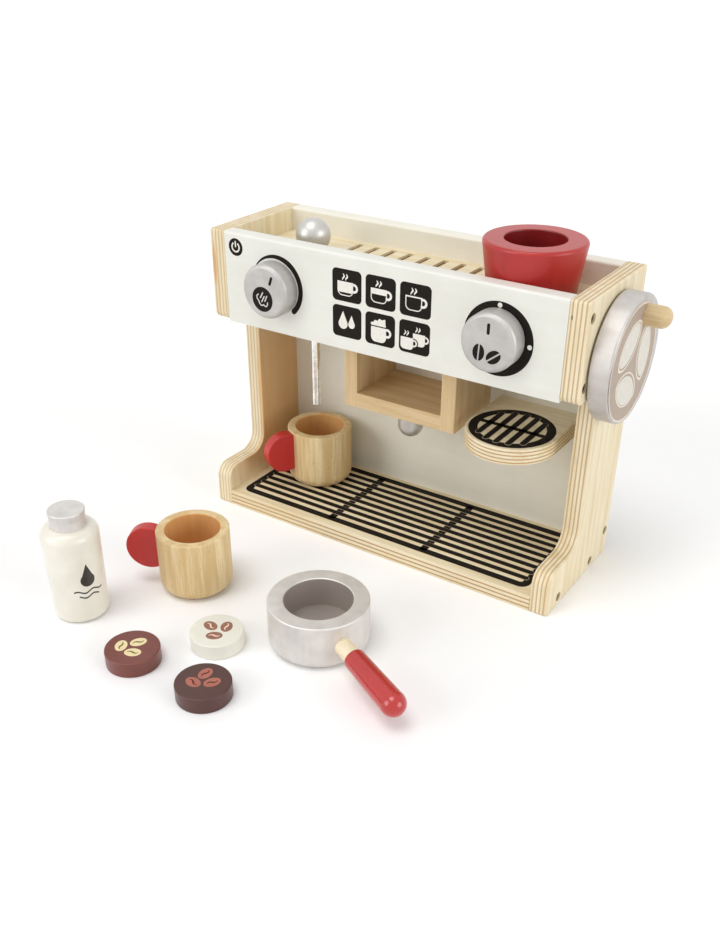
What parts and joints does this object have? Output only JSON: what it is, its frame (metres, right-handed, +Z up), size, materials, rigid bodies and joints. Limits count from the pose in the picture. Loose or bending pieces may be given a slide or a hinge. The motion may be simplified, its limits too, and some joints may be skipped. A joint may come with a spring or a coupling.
{
  "type": "toy coffee maker",
  "caption": "Wooden toy coffee machine with turning knobs, side crank, lifting steam wand, hopper and shelf, plus loose cups, filter holder, milk bottle and coffee pucks.",
  "frame": {"origin": "middle of the machine's underside, halfway through the depth of its head", "axes": "+X to the machine's right seen from the front, +Y to its back, +Z up"},
  "size_m": [0.294, 0.2858, 0.2164],
  "materials": {
    "ply_wood": "clear lacquered birch plywood",
    "white_paint": "white painted board",
    "beech_wood": "clear lacquered beech",
    "rubber_wood": "clear lacquered turned wood",
    "silver_paint": "silver painted wood",
    "red_paint": "satin red painted wood",
    "red_gloss": "gloss red painted wood",
    "milk_white": "cream white painted wood",
    "brown_paint": "brown painted wood",
    "dark_brown_paint": "dark brown painted wood",
    "wand_metal": "polished",
    "screw_steel": "plated steel"
  },
  "bodies": {
    "machine": {"base_board": "ply_wood", "left_side_panel": "ply_wood", "right_side_panel": "ply_wood", "front_panel": "white_paint", "back_panel": "white_paint", "top_deck": "ply_wood", "group_box_left_wall": "beech_wood", "group_box_right_wall": "beech_wood", "group_box_floor": "beech_wood", "group_box_top": "beech_wood", "coffee_spout": "silver_paint", "grinder_shelf": "ply_wood", "bean_hopper": "red_paint", "left_panel_screws": "screw_steel", "right_panel_screws": "screw_steel", "back_panel_screws": "screw_steel"},
    "steam_wand": {"steam_wand_rod": "wand_metal", "steam_wand_ball": "silver_paint", "steam_wand_stop_collar": "beech_wood"},
    "steam_knob": {"steam_knob": "silver_paint", "steam_knob_spindle": "beech_wood", "steam_knob_washer": "screw_steel", "steam_knob_screw": "screw_steel"},
    "bean_knob": {"bean_knob": "silver_paint", "bean_knob_spindle": "beech_wood", "bean_knob_washer": "screw_steel", "bean_knob_screw": "screw_steel"},
    "crank": {"crank_wheel": "silver_paint", "crank_peg": "beech_wood", "crank_axle": "beech_wood", "crank_washer": "screw_steel", "crank_screw": "screw_steel"},
    "filter_holder": {"filter_holder_cup": "silver_paint", "filter_holder_dowel": "beech_wood", "filter_holder_grip": "red_gloss"},
    "tray_cup": {"tray_cup": "rubber_wood", "tray_cup_handle": "red_paint"},
    "table_cup": {"table_cup": "rubber_wood", "table_cup_handle": "red_paint"},
    "milk_bottle": {"milk_bottle": "milk_white", "milk_bottle_cap": "silver_paint"},
    "brown_puck": {"coffee_puck_brown": "brown_paint"},
    "dark_puck": {"coffee_puck_dark": "dark_brown_paint"},
    "white_puck": {"coffee_puck_white": "milk_white"}
  },
  "joints": [
    {"name": "steam_wand_lift", "type": "slide", "parent": "machine", "child": "steam_wand", "axis": [0, 0, 1], "range_m": [0, 0.0315]},
    {"name": "steam_knob_turn", "type": "hinge", "parent": "machine", "child": "steam_knob", "pos_m": [-0.0795, -0.0421, 0.169], "axis": [0, -1, 0], "continuous": true},
    {"name": "bean_knob_turn", "type": "hinge", "parent": "machine", "child": "bean_knob", "pos_m": [0.0795, -0.0421, 0.169], "axis": [0, -1, 0], "continuous": true},
    {"name": "crank_turn", "type": "hinge", "parent": "machine", "child": "crank", "pos_m": [0.1327, 0.0015, 0.1557], "axis": [1, 0, 0], "continuous": true},
    {"name": "filter_holder_lift", "type": "slide", "parent": "machine", "child": "filter_holder", "axis": [0, 0, 1], "range_m": [0, 0.06]},
    {"name": "tray_cup_draw", "type": "slide", "parent": "machine", "child": "tray_cup", "axis": [0, -1, 0], "range_m": [0, 0.095]},
    {"name": "table_cup_lift", "type": "slide", "parent": "machine", "child": "table_cup", "axis": [0, 0, 1], "range_m": [0, 0.08]},
    {"name": "milk_bottle_lift", "type": "slide", "parent": "machine", "child": "milk_bottle", "axis": [0, 0, 1], "range_m": [0, 0.08]},
    {"name": "brown_puck_lift", "type": "slide", "parent": "machine", "child": "brown_puck", "axis": [0, 0, 1], "range_m": [0, 0.06]},
    {"name": "dark_puck_lift", "type": "slide", "parent": "machine", "child": "dark_puck", "axis": [0, 0, 1], "range_m": [0, 0.06]},
    {"name": "white_puck_lift", "type": "slide", "parent": "machine", "child": "white_puck", "axis": [0, 0, 1], "range_m": [0, 0.06]}
  ]
}
